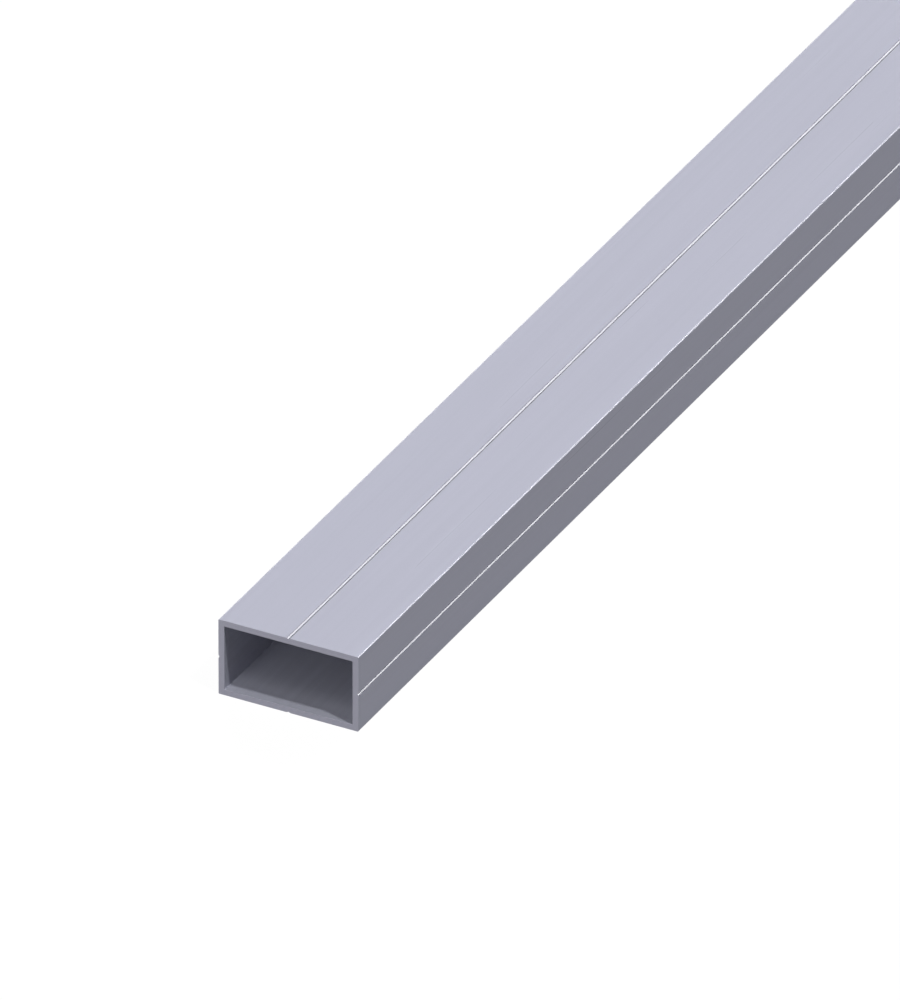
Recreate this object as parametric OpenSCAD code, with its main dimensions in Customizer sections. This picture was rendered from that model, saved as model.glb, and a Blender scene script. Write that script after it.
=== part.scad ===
// Rectangular aluminium tube, one length of extruded stock.
// The length lies along Y, the wide faces are level, and the origin is the middle of the underside.

/* [Section] */
// Outside width of the section in mm
tube_w = 35.5; // [20:0.5:60]
// Outside height of the section in mm
tube_h = 19.5; // [12:0.5:40]
// Thickness of all four walls in mm
wall = 1.5; // [1:0.1:3]
// Radius of the four long outer edges in mm
outer_edge_r = 0.25; // [0.1:0.05:0.6]
// Radius of the four long inner corners in mm
inner_corner_r = 0.2; // [0.1:0.05:0.6]

/* [Guide grooves] */
// Width of the V groove along the middle of each face in mm
groove_w = 0.9; // [0.4:0.1:2]
// Depth of the V groove in mm
groove_d = 0.25; // [0.1:0.05:0.6]

/* [Length] */
// Length that the stock is sold in, in mm
stock_l = 1000; // [200:100:2500]

/* [Hidden] */
// Facets of a full circle, for the edge and corner radii
$fn = 48;
hollow_w = tube_w - 2 * wall;
hollow_h = tube_h - 2 * wall;
quarter_turn = 90;
// How far each face lies from the centre of the section: top, left, underside, right
face_reach = [tube_h / 2, tube_w / 2, tube_h / 2, tube_w / 2];

// A w by h rectangle about the centre, with exact arcs of radius r at its corners
module rounded_rectangle(w, h, r) {
    square([w - 2 * r, h], center = true);
    square([w, h - 2 * r], center = true);
    for (side = [-1, 1], level = [-1, 1])
        translate([side * (w / 2 - r), level * (h / 2 - r)])
            circle(r = r);
}

// The V that is cut into a face, drawn with the face along the X axis. Its flanks run on as far
// above the face as below it, so at the face itself it is groove_w wide.
module groove_profile() {
    polygon([
        [0, -groove_d],
        [groove_w, groove_d],
        [-groove_w, groove_d]
    ]);
}

// The section that the die leaves: an even wall round the hollow, and one groove in each face
module tube_section() {
    difference() {
        rounded_rectangle(tube_w, tube_h, outer_edge_r);
        rounded_rectangle(hollow_w, hollow_h, inner_corner_r);
        for (face = [0 : len(face_reach) - 1])
            rotate(face * quarter_turn)
                translate([0, face_reach[face]])
                    groove_profile();
    }
}

// The section run out to the stock's length, and sawn square at both ends
module rectangular_tube() {
    color([0.73, 0.74, 0.79])
        translate([0, 0, tube_h / 2])
            rotate([quarter_turn, 0, 0])
                linear_extrude(height = stock_l, center = true)
                    tube_section();
}

rectangular_tube();
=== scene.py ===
# %% [markdown]
# # Rectangular aluminium tube
#
# One metre of extruded box section lies on a pale studio floor. It is 35.5 mm wide and 19.5 mm
# high, its wall is 1.5 mm, and a fine guide groove runs along the middle of each face.
# Everything below is in metres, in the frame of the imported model: X across the tube, Y along it
# and Z up. The cut end that faces -Y is the front end.

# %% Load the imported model
import math

import bmesh
import bpy
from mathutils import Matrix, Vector


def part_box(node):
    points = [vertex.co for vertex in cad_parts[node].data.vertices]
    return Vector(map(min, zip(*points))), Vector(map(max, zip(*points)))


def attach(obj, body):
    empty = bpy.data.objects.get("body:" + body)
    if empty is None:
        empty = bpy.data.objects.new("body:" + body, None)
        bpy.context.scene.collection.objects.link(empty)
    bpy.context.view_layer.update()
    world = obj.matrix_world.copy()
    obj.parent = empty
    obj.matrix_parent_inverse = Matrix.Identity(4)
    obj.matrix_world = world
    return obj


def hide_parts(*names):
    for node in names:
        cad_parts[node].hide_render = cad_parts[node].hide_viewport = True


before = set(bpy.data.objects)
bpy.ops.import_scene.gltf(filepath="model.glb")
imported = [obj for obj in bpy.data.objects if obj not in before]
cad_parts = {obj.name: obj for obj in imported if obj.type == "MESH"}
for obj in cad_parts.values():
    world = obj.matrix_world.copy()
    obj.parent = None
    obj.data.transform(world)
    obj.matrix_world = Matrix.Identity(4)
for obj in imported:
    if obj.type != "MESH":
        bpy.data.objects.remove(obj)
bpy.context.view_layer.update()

# %% [markdown]
# ## Sizes
#
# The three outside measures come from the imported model, so the dressed tube fits it whatever
# length the stock is cut to. What the die shapes inside them is named here once: the wall, the
# radii of the long edges, and the groove. The last three values are too fine for the solid. Metal
# that flows through a die doesn't keep a groove's lips or its bottom dead sharp, and the sawn
# edges are broken with a file.

# %% Name the sizes
MM = 0.001
TUBE_NODE = "rectangular_tube"
LOW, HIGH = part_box(TUBE_NODE)
TUBE_W = HIGH.x - LOW.x
TUBE_H = HIGH.z - LOW.z
TUBE_L = HIGH.y - LOW.y
WALL = 1.5 * MM
EDGE_R = 0.25 * MM
BORE_R = 0.2 * MM
GROOVE_W = 0.9 * MM
GROOVE_D = 0.25 * MM
LIP_R = 0.5 * MM
BOTTOM_R = 0.06 * MM
FILED_EDGE = 0.05 * MM
print(f"Tube {TUBE_W / MM:.2f} x {TUBE_H / MM:.2f} x {TUBE_L / MM:.1f} mm")

# %% [markdown]
# ## The camera
#
# The reference shows the tube in parallel projection, from the front right and above. A very long
# lens far away comes close to that, and unlike an orthographic camera it can step back when other
# views are wanted. The camera looks along one direction, and the middle of the picture is given
# as a distance to the right of the front end and a distance above it, as the viewer sees them.

# %% Place the camera
AZIMUTH = math.radians(27.8)
ELEVATION = math.radians(31.0)
LENS = 1500 * MM
SENSOR = 36 * MM
PICTURE_HEIGHT = 225.8 * MM
MIDDLE_RIGHT_OF_END = 36.21 * MM
MIDDLE_ABOVE_END = 47.67 * MM
TRUE_SCALE_FROM_END = 110 * MM


def view_axes(azimuth, elevation):
    """The directions towards the viewer, to their right and upwards in the picture."""
    back = Vector((
        math.sin(azimuth) * math.cos(elevation),
        -math.cos(azimuth) * math.cos(elevation),
        math.sin(elevation),
    ))
    right = Vector((math.cos(azimuth), math.sin(azimuth), 0))
    return back, right, back.cross(right)


def place_camera():
    """A long lens, set so that the picture's height is true part of the way along the tube."""
    back, right, up = view_axes(AZIMUTH, ELEVATION)
    front_foot = Vector((0, LOW.y, LOW.z))
    middle = front_foot + right * MIDDLE_RIGHT_OF_END + up * MIDDLE_ABOVE_END
    true_point = front_foot + Vector((0, TRUE_SCALE_FROM_END, TUBE_H))
    distance = PICTURE_HEIGHT * LENS / SENSOR
    data = bpy.data.cameras.new("Long_lens")
    data.lens = LENS / MM
    data.sensor_width = SENSOR / MM
    data.clip_start = distance / 2
    data.clip_end = distance * 2
    camera = bpy.data.objects.new("Long_lens", data)
    camera.location = middle + back * (distance + (true_point - middle).dot(back))
    camera.rotation_euler = back.to_track_quat("Z", "Y").to_euler()
    bpy.context.scene.collection.objects.link(camera)
    bpy.context.scene.camera = camera
    print(f"The camera stands {distance:.2f} m away")


place_camera()

# %% [markdown]
# ## Small helpers for node trees
#
# Shapes and finishes are both drawn with node trees here. These helpers add a node together with
# what goes into it, so that each line of a tree reads like a sentence.

# %% Helpers for node trees
def node(tree, kind, inputs=None, **settings):
    """A new node. Inputs are given by name or number, as values or as other nodes' sockets."""
    made = tree.nodes.new(kind)
    for name, value in settings.items():
        setattr(made, name, value)
    for name, value in (inputs or {}).items():
        fill(tree, made.inputs[name], value)
    return made


def fill(tree, socket, value):
    """Sets an input to a value, or links another node's socket to it."""
    if isinstance(value, bpy.types.NodeSocket):
        tree.links.new(value, socket)
    else:
        socket.default_value = value


def calc(tree, operation, first, second=0.0):
    """The result of one Math node."""
    return node(tree, "ShaderNodeMath", {0: first, 1: second}, operation=operation).outputs[0]


def half_of(tree, value):
    """Half of the value."""
    return calc(tree, "MULTIPLY", value, 0.5)


def minus(tree, value):
    """The value with its sign changed."""
    return calc(tree, "MULTIPLY", value, -1.0)


def pick(tree, index, values):
    """The value whose place in the list is given by index."""
    made = node(tree, "GeometryNodeIndexSwitch", {"Index": index}, data_type="FLOAT")
    while len(made.index_switch_items) < len(values):
        made.index_switch_items.new()
    for place, value in enumerate(values, start=1):
        fill(tree, made.inputs[place], value)
    return made.outputs[0]


def coordinates(tree, vector):
    """The X, Y and Z of a vector."""
    return node(tree, "ShaderNodeSeparateXYZ", {0: vector}).outputs


# %% [markdown]
# ## The section
#
# On the real tube the section is cut into a steel die, and hot aluminium is pressed through it.
# The outline could be drawn by hand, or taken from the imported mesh, which is coarse in the small
# rounds. But it follows a rule, so Geometry Nodes work it out from the sizes. Going clockwise,
# each of the four sides has four points: the near lip of its groove, the bottom of the V, the
# far lip, and the tube's own corner. One set of formulas gives the four points of the top, and a
# quarter turn for each side gives the others. Fillet Curve then rounds each point with its own
# radius.

# %% The outlines of the section
POINTS_A_SIDE = 4
SIDES = 4
ROUND_STEPS = 8
GROOVE_STEPS = 3


def skin_outline(tree, size):
    """The closed outline of the outside, with a V groove in each side."""
    index = node(tree, "GeometryNodeInputIndex").outputs[0]
    side = calc(tree, "FLOOR", calc(tree, "DIVIDE", index, POINTS_A_SIDE))
    step = calc(tree, "MODULO", index, POINTS_A_SIDE)
    half_w = half_of(tree, size["Width"])
    half_h = half_of(tree, size["Height"])
    half_groove = half_of(tree, size["Groove width"])
    reach = pick(tree, side, [half_h, half_w, half_h, half_w])
    corner = pick(tree, side, [half_w, half_h, half_w, half_h])
    bottom = calc(tree, "SUBTRACT", reach, size["Groove depth"])
    place = node(tree, "ShaderNodeCombineXYZ", {
        "X": pick(tree, step, [minus(tree, half_groove), 0.0, half_groove, corner]),
        "Y": pick(tree, step, [reach, bottom, reach, reach]),
    })
    turned = node(tree, "ShaderNodeVectorRotate", {
        "Vector": place.outputs[0],
        "Angle": calc(tree, "MULTIPLY", side, -math.tau / SIDES),
    }, rotation_type="Z_AXIS")
    points = node(tree, "GeometryNodePoints", {
        "Count": POINTS_A_SIDE * SIDES, "Position": turned.outputs[0],
    })
    line = node(tree, "GeometryNodePointsToCurves", {0: points.outputs[0]})
    ring = node(tree, "GeometryNodeSetSplineCyclic", {0: line.outputs[0], "Cyclic": True})
    lip = size["Lip radius"]
    radius = pick(tree, step, [lip, size["Bottom radius"], lip, size["Edge radius"]])
    steps = pick(tree, step, [GROOVE_STEPS, GROOVE_STEPS, GROOVE_STEPS, ROUND_STEPS])
    return rounded(tree, ring.outputs[0], radius, steps)


def bore_outline(tree, size):
    """The closed outline of the hollow."""
    walls = calc(tree, "ADD", size["Wall"], size["Wall"])
    ring = node(tree, "GeometryNodeCurvePrimitiveQuadrilateral", {
        "Width": calc(tree, "SUBTRACT", size["Width"], walls),
        "Height": calc(tree, "SUBTRACT", size["Height"], walls),
    })
    return rounded(tree, ring.outputs[0], size["Bore radius"], ROUND_STEPS)


def rounded(tree, outline, radius, steps):
    """The outline with each of its points rounded to that radius in so many steps."""
    return node(tree, "GeometryNodeFilletCurve", {
        "Curve": outline, "Count": steps, "Radius": radius, "Limit Radius": True,
    }, mode="POLY").outputs[0]


# %% [markdown]
# ## Walls and cut ends
#
# A box with the hollow cut out of it would leave long crooked triangles. Curve to Mesh runs each
# outline along the tube instead, as the press does. A metre long face would still be a thin
# sliver, so the path has a station every few centimetres. The first and the last station lie a
# hair inside the ends, and the path has one more point at each end itself. The ring there is
# drawn into the metal by the same hair: that is the edge broken with a file. The cut faces
# between the outer and the inner ring come from Fill Curve, and Merge by Distance welds
# everything to one closed shell.

# %% Walls and cut ends
WELD_DISTANCE = 0.001 * MM
POINTS_BEYOND_STATIONS = 3.0


def path_along_tube(tree, size):
    """A straight line in Z with even stations, and one more point at each end."""
    half = half_of(tree, size["Length"])
    first = calc(tree, "SUBTRACT", size["Filed edge"], half)
    last = minus(tree, first)
    spacing = calc(tree, "DIVIDE", calc(tree, "SUBTRACT", last, first), size["Stations"])
    index = node(tree, "GeometryNodeInputIndex").outputs[0]
    past_first = calc(tree, "SUBTRACT", index, 1.0)
    height = calc(tree, "ADD", first, calc(tree, "MULTIPLY", past_first, spacing))
    kept = node(tree, "ShaderNodeClamp", {"Value": height, "Min": minus(tree, half), "Max": half})
    place = node(tree, "ShaderNodeCombineXYZ", {"Z": kept.outputs[0]})
    points = node(tree, "GeometryNodePoints", {
        "Count": calc(tree, "ADD", size["Stations"], POINTS_BEYOND_STATIONS),
        "Position": place.outputs[0],
    })
    return node(tree, "GeometryNodePointsToCurves", {0: points.outputs[0]}).outputs[0]


def past_level(tree, along, level):
    """One for a point that lies at that level or beyond it, give or take the weld."""
    return calc(tree, "GREATER_THAN", along, calc(tree, "SUBTRACT", level, WELD_DISTANCE))


def wall(tree, size, path, outline):
    """One wall run along the path, with the ring at each end drawn into the metal."""
    swept = node(tree, "GeometryNodeCurveToMesh", {"Curve": path, "Profile Curve": outline})
    mesh = node(tree, "GeometryNodeFlipFaces", {0: swept.outputs[0]}).outputs[0]
    height = coordinates(tree, node(tree, "GeometryNodeInputPosition").outputs[0])["Z"]
    from_middle = calc(tree, "ABSOLUTE", height)
    inwards = node(tree, "ShaderNodeVectorMath", {
        0: node(tree, "GeometryNodeInputNormal").outputs[0],
        "Scale": minus(tree, size["Filed edge"]),
    }, operation="SCALE")
    filed = node(tree, "GeometryNodeSetPosition", {
        "Geometry": mesh,
        "Selection": past_level(tree, from_middle, half_of(tree, size["Length"])),
        "Offset": inwards.outputs[0],
    })
    return filed.outputs[0]


def cut_faces(tree, size, skin, bore):
    """The flat ring at each end, filled between the last rings of the two walls."""
    half = half_of(tree, size["Length"])
    height = coordinates(tree, node(tree, "GeometryNodeInputPosition").outputs[0])["Z"]
    at_top = past_level(tree, height, half)
    both = node(tree, "GeometryNodeJoinGeometry")
    for mesh in (skin, bore):
        ring = node(tree, "GeometryNodeMeshToCurve", {"Mesh": mesh, "Selection": at_top})
        tree.links.new(ring.outputs[0], both.inputs[0])
    up = node(tree, "GeometryNodeFillCurve", {0: both.outputs[0]}, mode="TRIANGLES").outputs[0]
    down = node(tree, "GeometryNodeFlipFaces", {0: up}).outputs[0]
    ends = []
    for face, level in ((up, half), (down, minus(tree, half))):
        place = node(tree, "ShaderNodeCombineXYZ", {"Z": level}).outputs[0]
        moved = node(tree, "GeometryNodeTransform", {"Geometry": face, "Translation": place})
        ends.append(moved.outputs[0])
    return ends


# %% [markdown]
# ## Smooth rounds beside true flats
#
# If every edge were smooth, the shading of a flat face would lean towards the round next to it,
# and the whole face would look bent. So an edge stays sharp where a wide face meets a narrow one,
# or where two faces meet at a steep angle. Only the small faces of one round blend together.
# An edge takes the mean of what its two faces say, so it gets one half where just one is wide.

# %% Shading
SHARP_ANGLE = math.radians(30)
WIDE_FACE = 0.2 * MM
ONE_OF_TWO = 0.5
ONE_OF_TWO_MARGIN = 0.25


def is_wide(tree, size, width):
    """One for a face between two stations that is at least that wide, and zero for the others."""
    station = calc(tree, "DIVIDE", size["Length"], size["Stations"])
    area = node(tree, "GeometryNodeInputMeshFaceArea").outputs[0]
    return calc(tree, "GREATER_THAN", area, calc(tree, "MULTIPLY", station, width))


def shade(tree, size, mesh):
    """Rounds are smooth, and flats and cut edges are sharp."""
    wide_share = node(tree, "GeometryNodeFieldOnDomain", {
        0: is_wide(tree, size, WIDE_FACE),
    }, domain="FACE", data_type="FLOAT").outputs[0]
    one_wide = node(tree, "ShaderNodeMath", {
        0: wide_share, 1: ONE_OF_TWO, 2: ONE_OF_TWO_MARGIN,
    }, operation="COMPARE").outputs[0]
    angle = node(tree, "GeometryNodeInputMeshEdgeAngle").outputs[0]
    steep = calc(tree, "GREATER_THAN", angle, SHARP_ANGLE)
    smooth = node(tree, "GeometryNodeSetShadeSmooth", {
        "Geometry": mesh, "Shade Smooth": True,
    }, domain="FACE")
    return node(tree, "GeometryNodeSetShadeSmooth", {
        "Geometry": smooth.outputs[0],
        "Selection": calc(tree, "MAXIMUM", one_wide, steep),
        "Shade Smooth": False,
    }, domain="EDGE").outputs[0]


# %% [markdown]
# ## Light and dark streaks in the metal
#
# Each finish below starts from a pattern that lies in the metal itself, on Object coordinates:
# one unit is one metre on the tube, so a size in the pattern is a size on the real thing.
# A painted picture could carry it too, but would blur close up. Stretching a noise along Y draws
# it out to the fine lines that the die leaves on everything it presses. Only the spread of
# colour, gloss and relief differs from finish to finish. A noise seldom leaves the middle half
# of its range, so that half is what the spreads are laid over.

# %% Helpers for the finishes
NOISE_DETAIL = 2.0
NOISE_LOW = 0.25
NOISE_HIGH = 0.75
METAL_SHARE = 0.06
SPECULAR = 0.1
FINISHES = {}


def new_material(name):
    """A material with an empty node tree, its Principled shader and its Object coordinates."""
    material = bpy.data.materials.new(name)
    material.use_nodes = True
    tree = material.node_tree
    tree.nodes.clear()
    shader = node(tree, "ShaderNodeBsdfPrincipled")
    node(tree, "ShaderNodeOutputMaterial", {"Surface": shader.outputs[0]})
    place = node(tree, "ShaderNodeTexCoord").outputs["Object"]
    return material, tree, shader, place


def drawn_noise(tree, place, across, along):
    """Noise from 0 to 1 whose features are that wide across the tube and that long along it."""
    scaled = node(tree, "ShaderNodeMapping", {
        "Vector": place, "Scale": (1 / across, 1 / along, 1 / across),
    })
    return node(tree, "ShaderNodeTexNoise", {
        "Vector": scaled.outputs[0], "Scale": 1.0, "Detail": NOISE_DETAIL,
    }).outputs[0]


def between(tree, pattern, low, high):
    """A value that goes from low to high with a pattern."""
    return node(tree, "ShaderNodeMapRange", {
        "Value": pattern, "From Min": NOISE_LOW, "From Max": NOISE_HIGH,
        "To Min": low, "To Max": high,
    }).outputs[0]


def streaked(tree, colour, *streaks):
    """The colour, made lighter and darker. Each streak is a pattern and its share of light."""
    light = 1.0
    for pattern, share in streaks:
        light = calc(tree, "ADD", light, between(tree, pattern, -share, share))
    return node(tree, "ShaderNodeVectorMath", {
        0: colour, "Scale": light,
    }, operation="SCALE").outputs[0]


def set_shader(tree, shader, colour, roughness, metal_share=METAL_SHARE, specular=SPECULAR):
    """Fills in a Principled shader, by default as for a film or metal without much gloss."""
    tree.links.new(colour, shader.inputs["Base Color"])
    tree.links.new(roughness, shader.inputs["Roughness"])
    shader.inputs["Metallic"].default_value = metal_share
    shader.inputs["Specular IOR Level"].default_value = specular


def set_relief(tree, shader, pattern, height):
    """Raises the light parts of a pattern above its dark ones by that height."""
    bump = node(tree, "ShaderNodeBump", {"Height": pattern, "Distance": height})
    tree.links.new(bump.outputs[0], shader.inputs["Normal"])


def keep_finish(where, material):
    """Keeps a finish for the tube's tree, under the name of the place that it is for."""
    FINISHES[where] = material
    print(f"{where}: {material.name}, {len(material.node_tree.nodes)} nodes")


# %% [markdown]
# ## Satin anodised skin
#
# The outside is etched, then anodised in its natural colour: a pale grey with a little blue, and
# a gloss so broad that it hides reflections and shows only soft highlights. Under the film are
# faint die lines, less than a millimetre apart, and wider bands where the metal flowed a little
# faster. The shader is mostly diffuse with a share of metal, which is how this film looks when
# it is lit evenly.

# %% The skin's finish
ANODISED = (0.436, 0.443, 0.55)
SKIN_ROUGHNESS = (0.33, 0.27)
DIE_LINE = (0.8 * MM, 90 * MM)
DIE_LINE_LIGHT = 0.012
DIE_LINE_HEIGHT = 0.002 * MM
FLOW_BAND = (6 * MM, 400 * MM)
FLOW_BAND_LIGHT = 0.01


def satin_anodised():
    """The finish of the four outside faces."""
    material, tree, shader, place = new_material("Satin_anodised")
    lines = drawn_noise(tree, place, *DIE_LINE)
    bands = drawn_noise(tree, place, *FLOW_BAND)
    colour = streaked(tree, ANODISED, (lines, DIE_LINE_LIGHT), (bands, FLOW_BAND_LIGHT))
    set_shader(tree, shader, colour, between(tree, lines, *SKIN_ROUGHNESS))
    set_relief(tree, shader, lines, DIE_LINE_HEIGHT)
    return material


keep_finish("Skin", satin_anodised())

# %% [markdown]
# ## Grooves and edges
#
# The grooves and the long edges pass the narrowest parts of the die, and come out smoother than
# the flats. The steep flanks of a groove are painted dark, as painted shade for the dark line
# beside its highlight, and its rounded lips look like the skin beside them. The long edges are
# painted paler and with more metal, a painted highlight that brightens the fine lines where they
# face a light. One function makes both finishes from a colour, a share of metal and a gloss.

# %% The finish of the grooves and of the edges
# Painted shade: the dark colour of the steep groove flanks stands in for the shade inside the
# grooves.
GROOVE_PAINTED_SHADE = (0.15, 0.153, 0.19)
GROOVE_METAL_SHARE = 0.12
GROOVE_ROUGHNESS = 0.18
# Painted highlight: the edges' paler colour and larger metal share brighten the lamps' highlight
# on the rounds.
EDGE_METAL_PAINTED_HIGHLIGHT = (0.52, 0.525, 0.6)
EDGE_METAL_SHARE = 0.33
EDGE_ROUGHNESS = 0.27
SMOOTH_SPECULAR = 0.4
FINE_LINE = (0.2 * MM, 60 * MM)
FINE_LINE_LIGHT = 0.03


def smooth_line(name, colour, metal_share, roughness):
    """A finish that is smoother than the flats."""
    material, tree, shader, place = new_material(name)
    lines = drawn_noise(tree, place, *FINE_LINE)
    colour = streaked(tree, colour, (lines, FINE_LINE_LIGHT))
    spread = roughness * FINE_LINE_LIGHT
    gloss = between(tree, lines, roughness - spread, roughness + spread)
    set_shader(tree, shader, colour, gloss, metal_share, SMOOTH_SPECULAR)
    return material


# The grooves' dark flanks are painted shade.
keep_finish("Grooves", smooth_line(
    "Groove_painted_shade", GROOVE_PAINTED_SHADE, GROOVE_METAL_SHARE, GROOVE_ROUGHNESS,
))
# The edges' paler, more metallic finish is painted highlight.
keep_finish("Edges", smooth_line(
    "Edges_painted_highlight", EDGE_METAL_PAINTED_HIGHLIGHT, EDGE_METAL_SHARE, EDGE_ROUGHNESS,
))

# %% [markdown]
# ## The bore
#
# Inside, the tube has the same metal. The bore is painted a little paler than the skin, which is
# painted light that lightens the shaded hollow, and it is duller, with stronger die lines. It gets
# a finish of its own, because the open mouth shows it.

# %% The bore's finish
# Painted light: the bore's paler colour lightens the shade inside the hollow.
BORE_METAL_PAINTED_LIGHT = (0.505, 0.513, 0.6)
BORE_ROUGHNESS = (0.58, 0.48)
BORE_LINE = (1.0 * MM, 60 * MM)
BORE_LINE_LIGHT = 0.04
BORE_LINE_HEIGHT = 0.006 * MM


def dull_bore():
    """The finish of the hollow's four walls."""
    material, tree, shader, place = new_material("Dull_bore")
    lines = drawn_noise(tree, place, *BORE_LINE)
    colour = streaked(tree, BORE_METAL_PAINTED_LIGHT, (lines, BORE_LINE_LIGHT))
    set_shader(tree, shader, colour, between(tree, lines, *BORE_ROUGHNESS))
    set_relief(tree, shader, lines, BORE_LINE_HEIGHT)
    return material


keep_finish("Bore", dull_bore())

# %% [markdown]
# ## Sawn ends
#
# The stock is cut with a circular saw after it is anodised, so the cut shows bare metal. Its marks
# are arcs of the blade's own radius. They are a few thousandths of a millimetre deep, which is
# far too fine for the mesh, so they are relief in the finish. A ring pattern about the blade's
# centre gives them, with a little noise so that no two teeth cut quite alike. At a scale of one,
# Blender's ring pattern repeats every tau/20 units.

# %% The sawn ends' finish
SAWN_METAL = (0.502, 0.5, 0.6)
SAWN_ROUGHNESS = (0.45, 0.36)
BLADE_CENTRE = Vector((0.07, 0, 0.13))
TOOTH_PITCH = 0.45 * MM
RING_SPACING_AT_UNIT_SCALE = math.tau / 20
TOOTH_WANDER = 0.8
TOOTH_MARK_LIGHT = 0.01
TOOTH_MARK_HEIGHT = 0.004 * MM
CLOUD = 1.5 * MM
CLOUD_LIGHT = 0.02


def sawn_end():
    """The finish of the cut faces and their filed edges."""
    material, tree, shader, place = new_material("Sawn_end")
    about_blade = node(tree, "ShaderNodeMapping", {
        "Vector": place, "Location": -BLADE_CENTRE, "Scale": (1, 0, 1),
    })
    marks = node(tree, "ShaderNodeTexWave", {
        "Vector": about_blade.outputs[0],
        "Scale": RING_SPACING_AT_UNIT_SCALE / TOOTH_PITCH,
        "Distortion": TOOTH_WANDER,
        "Detail": NOISE_DETAIL,
    }, wave_type="RINGS", rings_direction="Y").outputs["Fac"]
    cloud = drawn_noise(tree, place, CLOUD, CLOUD)
    colour = streaked(tree, SAWN_METAL, (marks, TOOTH_MARK_LIGHT), (cloud, CLOUD_LIGHT))
    set_shader(tree, shader, colour, between(tree, marks, *SAWN_ROUGHNESS))
    set_relief(tree, shader, marks, TOOTH_MARK_HEIGHT)
    return material


keep_finish("Sawn ends", sawn_end())

# %% [markdown]
# ## A finish for each place
#
# The finish of a face goes by where it is and how it is turned. Narrow faces are a groove's where
# they are steep, and an edge's where they lie at a corner of the section. What lies within the
# walls is bore, and what lies within a hair of the ends is sawn. All the others are skin. Each
# test is a field that is one on the faces that it means and zero on the rest, so two tests
# together are their product.

# %% Finishes by place
FILM_SLOPE = math.radians(20)


def is_steep(tree):
    """One for a face of the laid tube that is turned well away from all four of its sides."""
    normal = coordinates(tree, node(tree, "GeometryNodeInputNormal").outputs[0])
    shares = [calc(tree, "ABSOLUTE", normal[axis]) for axis in ("X", "Z")]
    return calc(tree, "GREATER_THAN", calc(tree, "MINIMUM", *shares), math.sin(FILM_SLOPE))


def distances_from_middle(tree, size):
    """How far a point is from the middle of the laid tube, by the size that goes that way."""
    axes = coordinates(tree, node(tree, "GeometryNodeInputPosition").outputs[0])
    offsets = {
        "Width": axes["X"],
        "Length": axes["Y"],
        "Height": calc(tree, "SUBTRACT", axes["Z"], half_of(tree, size["Height"])),
    }
    return {extent: calc(tree, "ABSOLUTE", offset) for extent, offset in offsets.items()}


def dressed(tree, mesh, material, where=True):
    """The mesh with that material where a test is one."""
    return node(tree, "GeometryNodeSetMaterial", {
        "Geometry": mesh, "Selection": where, "Material": material,
    }).outputs[0]


def finish_by_place(tree, size, mesh):
    """The laid tube, still all skin, as real geometry that gets its other four finishes."""
    distance = distances_from_middle(tree, size)
    inside = 1.0
    at_edge = 1.0
    for extent in ("Width", "Height"):
        middle_of_wall = half_of(tree, calc(tree, "SUBTRACT", size[extent], size["Wall"]))
        within = calc(tree, "LESS_THAN", distance[extent], middle_of_wall)
        inside = calc(tree, "MULTIPLY", within, inside)
        at_edge = calc(tree, "MULTIPLY", calc(tree, "SUBTRACT", 1.0, within), at_edge)
    narrow = calc(tree, "SUBTRACT", 1.0, is_wide(tree, size, GROOVE_W))
    last_stations = calc(tree, "SUBTRACT", half_of(tree, size["Length"]), size["Filed edge"])
    mesh = node(tree, "GeometryNodeRealizeInstances", {0: mesh}).outputs[0]
    for name, where in (
        ("Grooves", calc(tree, "MULTIPLY", narrow, is_steep(tree))),
        ("Edges", calc(tree, "MULTIPLY", narrow, at_edge)),
        ("Bore", inside),
        ("Sawn ends", calc(tree, "GREATER_THAN", distance["Length"], last_stations)),
    ):
        mesh = dressed(tree, mesh, size[name], where)
    return mesh


# %% [markdown]
# ## Put the tree together
#
# The tree takes every size and the five finishes as named inputs, so another section only needs
# other numbers. It builds the tube standing along Z, which is how an outline is drawn. Each part
# is all skin before the parts are joined, because a part without a material would leave an empty
# slot behind. Then the tree lays the tube down, and the other finishes go on.

# %% The tube's tree
STATION_SPACING = 25 * MM
SIZES = {
    "Width": TUBE_W,
    "Height": TUBE_H,
    "Length": TUBE_L,
    "Wall": WALL,
    "Edge radius": EDGE_R,
    "Bore radius": BORE_R,
    "Groove width": GROOVE_W,
    "Groove depth": GROOVE_D,
    "Lip radius": LIP_R,
    "Bottom radius": BOTTOM_R,
    "Filed edge": FILED_EDGE,
}


def lay_down(tree, size, mesh):
    """The upright tube, laid along Y on the floor with its front end towards -Y."""
    level = node(tree, "ShaderNodeCombineXYZ", {"Z": half_of(tree, size["Height"])})
    return node(tree, "GeometryNodeTransform", {
        "Geometry": mesh, "Rotation": (math.tau / 4, 0, 0), "Translation": level.outputs[0],
    }).outputs[0]


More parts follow.
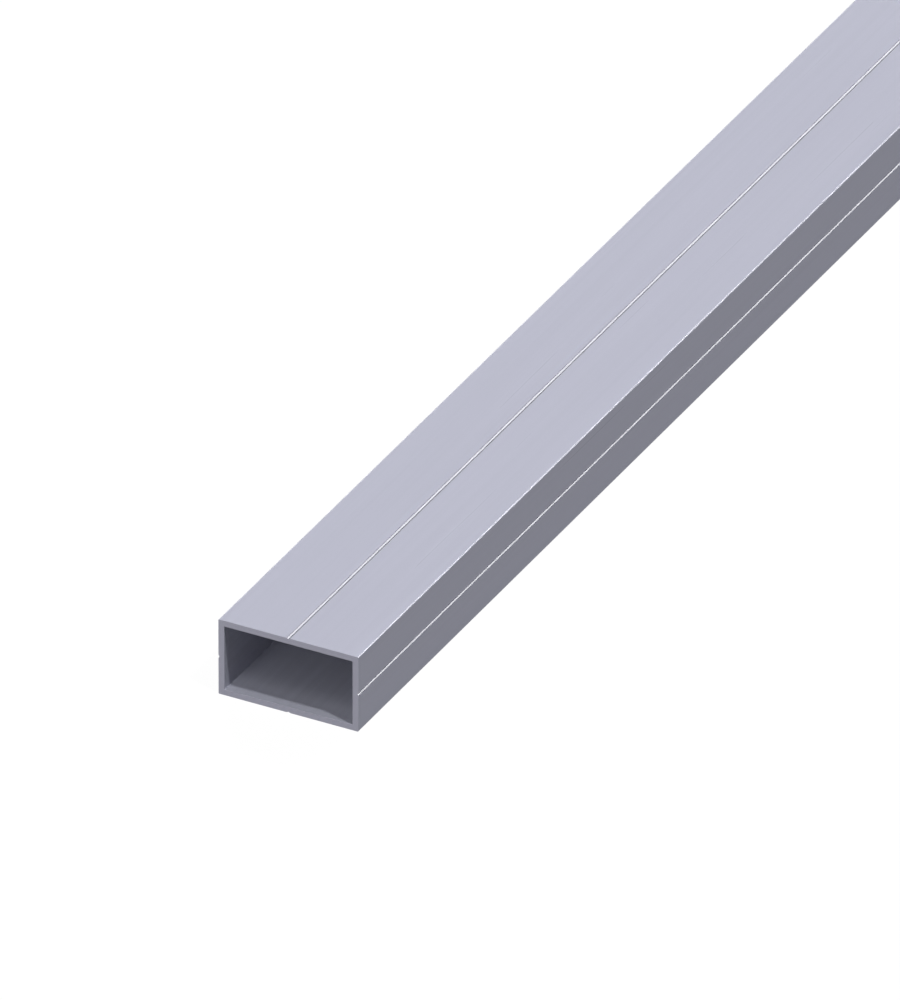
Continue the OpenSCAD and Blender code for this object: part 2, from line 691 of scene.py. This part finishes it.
def tube_tree():
    """The node tree that makes a grooved tube from its sizes."""
    tree = bpy.data.node_groups.new("Grooved_tube", "GeometryNodeTree")
    for name in SIZES:
        socket = tree.interface.new_socket(name, in_out="INPUT", socket_type="NodeSocketFloat")
        socket.subtype = "DISTANCE"
    tree.interface.new_socket("Stations", in_out="INPUT", socket_type="NodeSocketInt")
    for name in FINISHES:
        tree.interface.new_socket(name, in_out="INPUT", socket_type="NodeSocketMaterial")
    tree.interface.new_socket("Tube", in_out="OUTPUT", socket_type="NodeSocketGeometry")
    size = node(tree, "NodeGroupInput").outputs
    path = path_along_tube(tree, size)
    skin = wall(tree, size, path, skin_outline(tree, size))
    bore = wall(tree, size, path, bore_outline(tree, size))
    shell = node(tree, "GeometryNodeJoinGeometry")
    for part in (skin, bore, *cut_faces(tree, size, skin, bore)):
        tree.links.new(dressed(tree, part, size["Skin"]), shell.inputs[0])
    welded = node(tree, "GeometryNodeMergeByDistance", {
        "Geometry": shell.outputs[0], "Distance": WELD_DISTANCE,
    })
    laid = lay_down(tree, size, shade(tree, size, welded.outputs[0]))
    node(tree, "NodeGroupOutput", {0: finish_by_place(tree, size, laid)})
    print(len(tree.nodes), "nodes in the tube's tree")
    return tree


# %% [markdown]
# ## Make the tube
#
# The tree runs on an empty mesh. Its sizes are handed over by each socket's identifier, because
# two sockets may share a name, and the evaluated result is then frozen into a plain mesh.

# %% Make the tube
def make_tube():
    """The tube as a plain mesh object."""
    tree = tube_tree()
    tube = bpy.data.objects.new("Aluminium_tube", bpy.data.meshes.new("Aluminium_tube"))
    bpy.context.scene.collection.objects.link(tube)
    modifier = tube.modifiers.new("Grooved_tube", "NODES")
    modifier.node_group = tree
    values = {**SIZES, **FINISHES, "Stations": round(TUBE_L / STATION_SPACING)}
    for socket in tree.interface.items_tree:
        if socket.in_out == "INPUT":
            modifier[socket.identifier] = values[socket.name]
    depsgraph = bpy.context.evaluated_depsgraph_get()
    mesh = bpy.data.meshes.new_from_object(tube.evaluated_get(depsgraph), depsgraph=depsgraph)
    tube.modifiers.clear()
    tube.data = mesh
    return tube


tube = make_tube()
print(len(tube.data.polygons), "faces,", [m.name for m in tube.data.materials])

# %% [markdown]
# ## Measure the shell
#
# A good mesh of a solid is closed: every edge has exactly two faces, and the volume is positive
# when the faces look outwards. The volume is also a check on the section.

# %% Measure the shell
def measure(mesh):
    """Prints how many edges are open and how much metal the shell holds."""
    shape = bmesh.new()
    shape.from_mesh(mesh)
    open_edges = sum(not edge.is_manifold for edge in shape.edges)
    volume = shape.calc_volume(signed=True) / MM**3
    triangles = sum(len(face.verts) - 2 for face in shape.faces)
    shape.free()
    print(f"{open_edges} open edges, {volume:.1f} mm3 of metal, {triangles} triangles")


measure(tube.data)

# %% [markdown]
# ## A UV map for baking
#
# The finishes need no UV map here, but a copy for other programs would need them baked into
# pictures.
# An automatic unwrap would scatter a metre of narrow faces over the sheet. So each side of each
# wall gets a strip as long as the sheet. The two cut ends lie side by side above the strips and
# are drawn larger, because they are small and their saw marks are fine. A strip's direction
# follows from the way its face looks, so nothing is mirrored.

# %% Unwrap the tube
SHEET = 1024
GAP = 8
STRIP_PIXELS_PER_MM = 3.4
END_PIXELS_PER_MM = 10.5
MIDDLE = Vector((0, 0, TUBE_H / 2))


def across(normal):
    """The direction across a strip for a face that looks that way."""
    if abs(normal.x) > abs(normal.z):
        return Vector((0, 0, math.copysign(1, normal.x)))
    return Vector((-math.copysign(1, normal.z), 0, 0))


def strip_starts():
    """Where each strip starts, in pixels above the sheet's lower edge, and where they all end."""
    starts = {}
    level = GAP
    for wall_name, inset in (("skin", 0), ("bore", 2 * WALL)):
        for normal, outside in (
            (Vector((0, 0, 1)), TUBE_W),
            (Vector((1, 0, 0)), TUBE_H),
            (Vector((0, 0, -1)), TUBE_W),
            (Vector((-1, 0, 0)), TUBE_H),
        ):
            extent = outside - inset
            starts[wall_name, across(normal)[:]] = (level, extent)
            level += extent / MM * STRIP_PIXELS_PER_MM + GAP
    return starts, level


def unwrap(mesh):
    """Adds the map, face by face."""
    starts, ends_level = strip_starts()
    spots = mesh.uv_layers.new(name="OFBake").data
    names = [material.name for material in mesh.materials]
    for face in mesh.polygons:
        finish = names[face.material_index]
        for corner in face.loop_indices:
            point = mesh.vertices[mesh.loops[corner].vertex_index].co - MIDDLE
            if finish == "Sawn_end":
                facing = math.copysign(1, face.center.y)
                left = GAP if facing < 0 else SHEET / 2
                u = left + (TUBE_W / 2 - facing * point.x) / MM * END_PIXELS_PER_MM
                v = ends_level + (TUBE_H / 2 + point.z) / MM * END_PIXELS_PER_MM
            else:
                direction = across(face.normal)
                wall_name = "bore" if finish == "Dull_bore" else "skin"
                start, extent = starts[wall_name, direction[:]]
                u = GAP + (point.y / TUBE_L + 0.5) * (SHEET - 2 * GAP)
                v = start + (extent / 2 + point.dot(direction)) / MM * STRIP_PIXELS_PER_MM
            spots[corner].uv = (u / SHEET, v / SHEET)
    top = max(spot.uv.y for spot in spots)
    print(f"The strips and ends fill {top:.1%} of the sheet's height")


unwrap(tube.data)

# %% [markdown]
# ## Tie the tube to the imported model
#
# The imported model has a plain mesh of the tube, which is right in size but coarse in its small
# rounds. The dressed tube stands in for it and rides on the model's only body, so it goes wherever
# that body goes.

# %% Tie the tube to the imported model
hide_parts(TUBE_NODE)
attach(tube, "root")
print(tube.name, "stands in for", TUBE_NODE)

# %% [markdown]
# ## Floor and world
#
# The backdrop could be lit until it is white, but that would throw more light on the tube as
# well. Instead the camera and glossy reflections see floor and world as white by themselves,
# while the light that falls on the tube comes from the lamps. The floor keeps a little of its
# real shading, so that the tube's soft shadow stays.

# %% Floor and world
FLOOR_SPAN = 30.0
FLOOR_GAP = 0.02 * MM
FLOOR_GLOW = 0.95
SHADED_SHARE = 0.1
FLOOR_GREY = 0.3


def seen_directly(tree):
    """One for rays that should meet a white backdrop, and zero for those that carry light."""
    rays = node(tree, "ShaderNodeLightPath").outputs
    glossy = calc(tree, "MAXIMUM", rays["Is Camera Ray"], rays["Is Glossy Ray"])
    return calc(tree, "MAXIMUM", glossy, rays["Is Transmission Ray"])


def pale_floor():
    """White to the eye but for a little shading, and a plain grey to the light."""
    material = bpy.data.materials.new("Pale_floor")
    material.use_nodes = True
    tree = material.node_tree
    tree.nodes.clear()
    seen = seen_directly(tree)
    grey = node(tree, "ShaderNodeMapRange", {
        "Value": seen, "To Min": FLOOR_GREY, "To Max": SHADED_SHARE,
    })
    matt = node(tree, "ShaderNodeBsdfDiffuse", {"Color": grey.outputs[0]})
    glow = calc(tree, "MULTIPLY", seen, FLOOR_GLOW)
    white = node(tree, "ShaderNodeEmission", {"Strength": glow})
    both = node(tree, "ShaderNodeAddShader", {0: matt.outputs[0], 1: white.outputs[0]})
    node(tree, "ShaderNodeOutputMaterial", {"Surface": both.outputs[0]})
    return material


def lay_floor():
    """A wide level floor just under the tube."""
    half = FLOOR_SPAN / 2
    level = LOW.z - FLOOR_GAP
    corners = [(x * half, y * half, level) for x, y in ((-1, -1), (1, -1), (1, 1), (-1, 1))]
    mesh = bpy.data.meshes.new("Floor")
    mesh.from_pydata(corners, [], [(0, 1, 2, 3)])
    mesh.materials.append(pale_floor())
    floor = bpy.data.objects.new("Floor", mesh)
    bpy.context.scene.collection.objects.link(floor)
    print(f"The floor lies {FLOOR_GAP / MM:.2f} mm under the tube")


def paint_world():
    """A world that is white to the eye and in reflections, and throws no light on the tube."""
    world = bpy.data.worlds.new("Studio")
    world.use_nodes = True
    tree = world.node_tree
    tree.nodes.clear()
    white = node(tree, "ShaderNodeBackground", {
        "Color": (1, 1, 1, 1), "Strength": seen_directly(tree),
    })
    node(tree, "ShaderNodeOutputWorld", {"Surface": white.outputs[0]})
    bpy.context.scene.world = world


lay_floor()
paint_world()

# %% [markdown]
# ## Lamps
#
# The light of an area lamp would fall off along a metre of tube. Suns give the same light
# everywhere. A sun of pi watts on a square metre lights a white surface that faces it to exactly
# white, so each level below is the share of white that the lamp gives by itself. The key comes
# from the right and draws the bright strip inside the mouth, and the three from the front reach
# into the bore. The wide one from the back left gives the top its sheen. The three narrow rim
# lamps stand where the flanks of the grooves and the long edges mirror them into the camera, and
# draw the fine bright lines. Each lamp has the direction that its light comes from, its level,
# and its width in degrees.

# %% Lamps
LAMPS = {
    "Key": ((0.45, -0.128, 0.885), 0.30, 3),
    "Back_left": ((-0.40, 0.758, 0.515), 0.267, 30),
    "Front_steep": ((0.10, -0.42, 0.90), 0.10, 20),
    "Front_high": ((0.04, -0.80, 0.60), 0.09, 40),
    "Front_low": ((0.00, -0.97, 0.22), 0.255, 30),
    "Rim_high": ((0.214, 0.758, 0.616), 0.12, 10),
    "Rim_middle": ((0.515, 0.758, 0.40), 0.015, 6),
    "Rim_low": ((0.645, 0.758, 0.06), 0.068, 8),
}


def hang_lamps():
    """One sun for each lamp."""
    for name, (source, level, width) in LAMPS.items():
        data = bpy.data.lights.new(name, "SUN")
        data.energy = level * math.pi
        data.angle = math.radians(width)
        lamp = bpy.data.objects.new(name, data)
        lamp.rotation_euler = Vector(source).to_track_quat("Z", "Y").to_euler()
        bpy.context.scene.collection.objects.link(lamp)
    print(len(LAMPS), "lamps")


hang_lamps()

# %% [markdown]
# ## Plain colours
#
# Blender's usual view transform softens and greys bright colours, as a film would. The Standard
# one shows them as they are, so a finish renders about as its colour is written.

# %% Show the colours as they are
bpy.context.scene.view_settings.view_transform = "Standard"
print("View transform:", bpy.context.scene.view_settings.view_transform)
